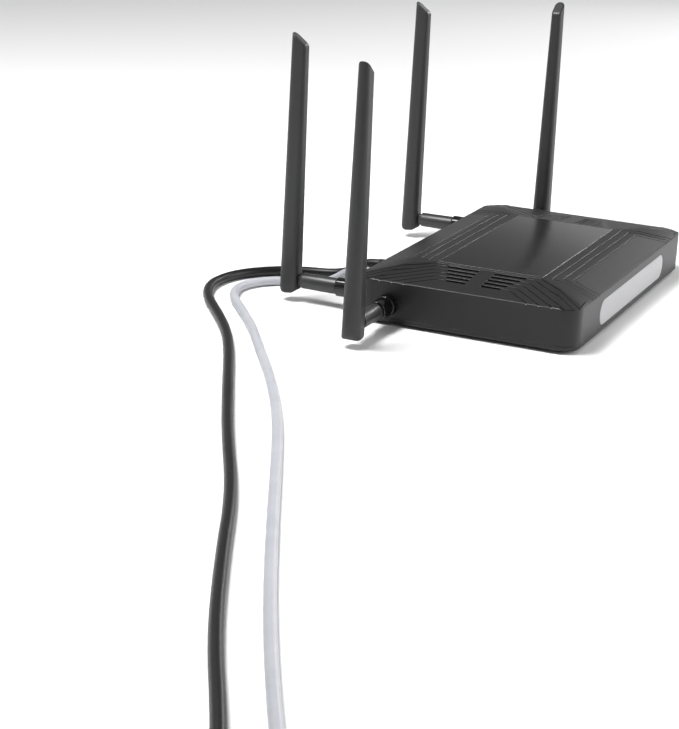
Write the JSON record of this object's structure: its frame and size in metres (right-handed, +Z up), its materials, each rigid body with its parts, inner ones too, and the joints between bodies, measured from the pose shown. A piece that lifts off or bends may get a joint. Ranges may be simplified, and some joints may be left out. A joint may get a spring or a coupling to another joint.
{
  "type": "wireless router",
  "caption": "Low rectangular wireless router with folding antennas at its rear and sides, slotted vents, a lit front window, a power lead and a network patch lead.",
  "frame": {"origin": "under the middle of the router with its antennas upright, on the surface that its feet stand on", "axes": "+X along the length of the case, +Y towards the rear sockets, +Z up"},
  "size_m": [1.0373, 0.4171, 0.1755],
  "materials": {
    "case": "satin moulded",
    "panel": "semi-gloss moulded",
    "window": "frosted translucent",
    "socket": "gloss moulded",
    "arm": "satin moulded",
    "blade": "satin moulded",
    "pin": "turned",
    "element": "drawn tube",
    "board": "solder mask",
    "socket_shell": "plated",
    "contact": "gilt",
    "black_plastic": "moulded",
    "switch": "moulded",
    "button": "satin moulded",
    "shield": "tinned",
    "chip": "moulded epoxy",
    "sink": "extruded",
    "capacitor": "sleeved can",
    "lamp": "clear",
    "guide": "clear",
    "foot": "matt",
    "screw": "plated",
    "plug": "clear",
    "network_cord": "PVC jacket",
    "power_cord": "PVC jacket",
    "tie": "coated",
    "adapter": "textured moulded"
  },
  "bodies": {
    "case": {"top_cover": "case", "bottom_cover": "case", "top_panel": "panel", "front_window": "window", "rubber_feet": "foot", "case_screws": "screw", "circuit_board": "board", "wan_jack": "socket_shell", "jack_contacts": "contact", "dc_jack": "black_plastic", "power_switch": "switch", "wps_switch": "switch", "shield_cans": "shield", "main_chips": "chip", "heat_sink": "sink", "line_transformers": "chip", "capacitors": "capacitor", "status_lamps": "lamp", "light_guide": "guide", "antenna_leads": "power_cord", "antenna_lead_plugs": "contact", "ethernet_plug": "plug", "ethernet_boot": "network_cord", "ethernet_cord": "network_cord", "ethernet_coil": "network_cord", "ethernet_tie": "tie", "ethernet_far_plug": "plug", "ethernet_far_boot": "network_cord", "power_plug": "black_plastic", "power_cord": "power_cord", "power_coil": "power_cord", "power_tie": "tie", "power_adapter": "adapter", "adapter_pins": "shield", "lan_jack_1": "socket_shell", "antenna_socket_1": "socket", "lan_jack_2": "socket_shell", "antenna_socket_2": "socket", "lan_jack_3": "socket_shell", "antenna_socket_3": "socket", "lan_jack_4": "socket_shell", "antenna_socket_4": "socket"},
    "power_button": {"power_button": "button"},
    "wps_button": {"wps_button": "button"},
    "rear_left_arm": {"antenna_arm_1": "arm"},
    "rear_left_blade": {"antenna_blade_1": "blade", "hinge_pin_1": "pin", "antenna_element_1": "element"},
    "left_arm": {"antenna_arm_2": "arm"},
    "left_blade": {"antenna_blade_2": "blade", "hinge_pin_2": "pin", "antenna_element_2": "element"},
    "right_arm": {"antenna_arm_3": "arm"},
    "right_blade": {"antenna_blade_3": "blade", "hinge_pin_3": "pin", "antenna_element_3": "element"},
    "rear_right_arm": {"antenna_arm_4": "arm"},
    "rear_right_blade": {"antenna_blade_4": "blade", "hinge_pin_4": "pin", "antenna_element_4": "element"}
  },
  "joints": [
    {"name": "rear_left_swivel", "type": "hinge", "parent": "case", "child": "rear_left_arm", "pos_m": [-0.105, 0.0435, 0.0141], "axis": [0, 1, 0], "range_deg": [-90, 90]},
    {"name": "rear_left_tilt", "type": "hinge", "parent": "rear_left_arm", "child": "rear_left_blade", "pos_m": [-0.105, 0.0978, 0.0141], "axis": [-1, 0, 0], "range_deg": [0, 90]},
    {"name": "left_swivel", "type": "hinge", "parent": "case", "child": "left_arm", "pos_m": [-0.126, 0.0195, 0.0141], "axis": [-1, 0, 0], "range_deg": [-90, 90]},
    {"name": "left_tilt", "type": "hinge", "parent": "left_arm", "child": "left_blade", "pos_m": [-0.1812, 0.0195, 0.0141], "axis": [0, -1, 0], "range_deg": [0, 90]},
    {"name": "right_swivel", "type": "hinge", "parent": "case", "child": "right_arm", "pos_m": [0.126, 0.0195, 0.0141], "axis": [1, 0, 0], "range_deg": [-90, 90]},
    {"name": "right_tilt", "type": "hinge", "parent": "right_arm", "child": "right_blade", "pos_m": [0.1812, 0.0195, 0.0141], "axis": [0, 1, 0], "range_deg": [0, 90]},
    {"name": "rear_right_swivel", "type": "hinge", "parent": "case", "child": "rear_right_arm", "pos_m": [0.105, 0.0435, 0.0141], "axis": [0, 1, 0], "range_deg": [-90, 90]},
    {"name": "rear_right_tilt", "type": "hinge", "parent": "rear_right_arm", "child": "rear_right_blade", "pos_m": [0.105, 0.0978, 0.0141], "axis": [-1, 0, 0], "range_deg": [0, 90]},
    {"name": "power_button_press", "type": "slide", "parent": "case", "child": "power_button", "axis": [0, -1, 0], "range_m": [0, 0.0015], "stiffness_N_per_m": 250, "springref_m": -0.0004},
    {"name": "wps_button_press", "type": "slide", "parent": "case", "child": "wps_button", "axis": [0, -1, 0], "range_m": [0, 0.0008], "stiffness_N_per_m": 250, "springref_m": -0.0004}
  ]
}
